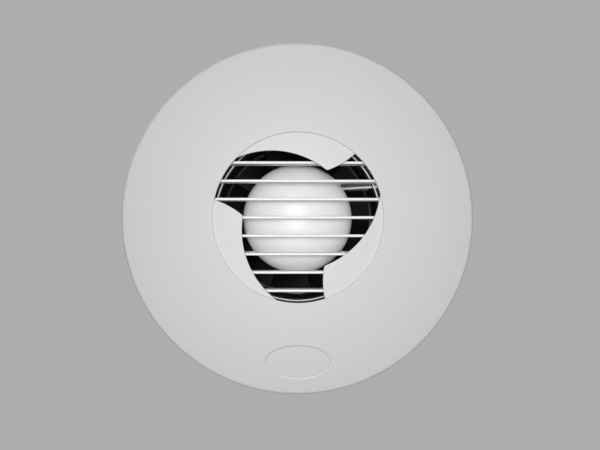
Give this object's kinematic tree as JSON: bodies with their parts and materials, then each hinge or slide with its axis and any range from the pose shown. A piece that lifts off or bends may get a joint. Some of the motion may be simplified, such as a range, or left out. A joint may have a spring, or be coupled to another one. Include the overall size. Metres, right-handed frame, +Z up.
{
  "type": "window exhaust fan",
  "caption": "Round exhaust fan with a domed disc cover and an iris shutter of sliding leaves over the inlet, an axial impeller and a stepped duct spigot.",
  "frame": {"origin": "centre of the fan's axis on the wall plane, at the back of the mounting plate", "axes": "+Y along the axis into the wall, from the cover towards the duct spigot; +Z up; +X to the right seen from the room"},
  "size_m": [0.25, 0.125, 0.25],
  "materials": {
    "cover_white": "satin moulded white plastic",
    "leaf_white": "satin moulded white plastic, slightly glossier than the cover",
    "inner_white": "fine-textured moulded plastic",
    "support_white": "fine-textured moulded plastic",
    "fan_dark": "dark moulded plastic",
    "housing_dark": "charcoal fine-textured moulded plastic",
    "acetal": "natural acetal, smooth",
    "foam": "closed-cell foam",
    "rubber": "moulded rubber",
    "steel": "zinc plated",
    "lamination": "stacked bare laminations",
    "copper": "lacquered copper winding",
    "bronze": "sintered bronze and brass",
    "board": "lacquered circuit board",
    "capacitor": "dipped film capacitor",
    "relay": "smooth moulded case",
    "terminal": "moulded polyamide"
  },
  "bodies": {
    "housing": {"leaf_pivot_pin_1": "steel", "leaf_pivot_pin_2": "steel", "leaf_pivot_pin_3": "steel", "iris_carrier": "inner_white", "iris_motor": "steel", "iris_motor_screw_1": "steel", "iris_motor_screw_2": "steel", "inlet_grille": "support_white", "duct_housing": "housing_dark", "wall_gasket": "foam", "cable_grommet": "rubber", "motor_support": "support_white", "motor_dome": "support_white", "motor_can": "steel", "motor_end_plate": "steel", "stator_core": "lamination", "winding_front": "copper", "winding_rear": "copper", "bearing_front": "bronze", "bearing_rear": "bronze", "control_board": "board", "board_capacitor": "capacitor", "board_relay": "relay", "terminal_block": "terminal", "terminal_cover": "inner_white", "cord_clamp": "inner_white", "carrier_screw_1": "steel", "carrier_screw_2": "steel", "carrier_screw_3": "steel", "support_screw_1": "steel", "support_screw_2": "steel", "support_screw_3": "steel", "clamp_screw_1": "steel", "clamp_screw_2": "steel", "terminal_screw_1": "bronze", "terminal_screw_2": "bronze", "terminal_screw_3": "bronze"},
    "impeller": {"impeller": "fan_dark", "impeller_nut": "bronze", "rotor_core": "lamination", "motor_shaft": "steel"},
    "cover": {"front_cover": "cover_white", "badge_blank": "cover_white"},
    "leaf_1": {"iris_leaf_1": "leaf_white"},
    "leaf_2": {"iris_leaf_2": "leaf_white"},
    "leaf_3": {"iris_leaf_3": "leaf_white"},
    "ring": {"drive_ring": "acetal"},
    "pinion": {"drive_pinion": "acetal"}
  },
  "joints": [
    {"name": "drive_ring_turn", "type": "hinge", "parent": "housing", "child": "ring", "pos_m": [0, 0, 0], "axis": [0, -1, 0], "range_deg": [-4.47, 2.79]},
    {"name": "leaf_1_swing", "type": "hinge", "parent": "housing", "child": "leaf_1", "pos_m": [-0.05324, -0.02445, 0.05494], "axis": [-0.1338, -0.9813, 0.1381], "range_deg": [-28.7, 17.9]},
    {"name": "leaf_2_swing", "type": "hinge", "parent": "housing", "child": "leaf_2", "pos_m": [-0.02096, -0.02445, -0.07357], "axis": [-0.0527, -0.9813, -0.185], "range_deg": [-28.7, 17.9]},
    {"name": "leaf_3_swing", "type": "hinge", "parent": "housing", "child": "leaf_3", "pos_m": [0.07419, -0.02445, 0.01864], "axis": [0.1865, -0.9813, 0.0468], "range_deg": [-28.7, 17.9]},
    {"name": "pinion_turn", "type": "hinge", "parent": "housing", "child": "pinion", "pos_m": [0.05151, -0.0249, -0.05334], "axis": [0.1295, -0.9825, -0.1341], "range_deg": [-45.78, 28.55]},
    {"name": "impeller_spin", "type": "hinge", "parent": "housing", "child": "impeller", "pos_m": [0, 0.045, 0], "axis": [0, 1, 0], "continuous": true},
    {"name": "cover_pull", "type": "slide", "parent": "housing", "child": "cover", "axis": [0, -1, 0], "range_m": [0, 0.06]}
  ],
  "couplings": [
    {"joint": "leaf_1_swing", "follows": "drive_ring_turn", "ratio": 6.4252},
    {"joint": "leaf_2_swing", "follows": "drive_ring_turn", "ratio": 6.4252},
    {"joint": "leaf_3_swing", "follows": "drive_ring_turn", "ratio": 6.4252},
    {"joint": "pinion_turn", "follows": "drive_ring_turn", "ratio": 10.25}
  ]
}
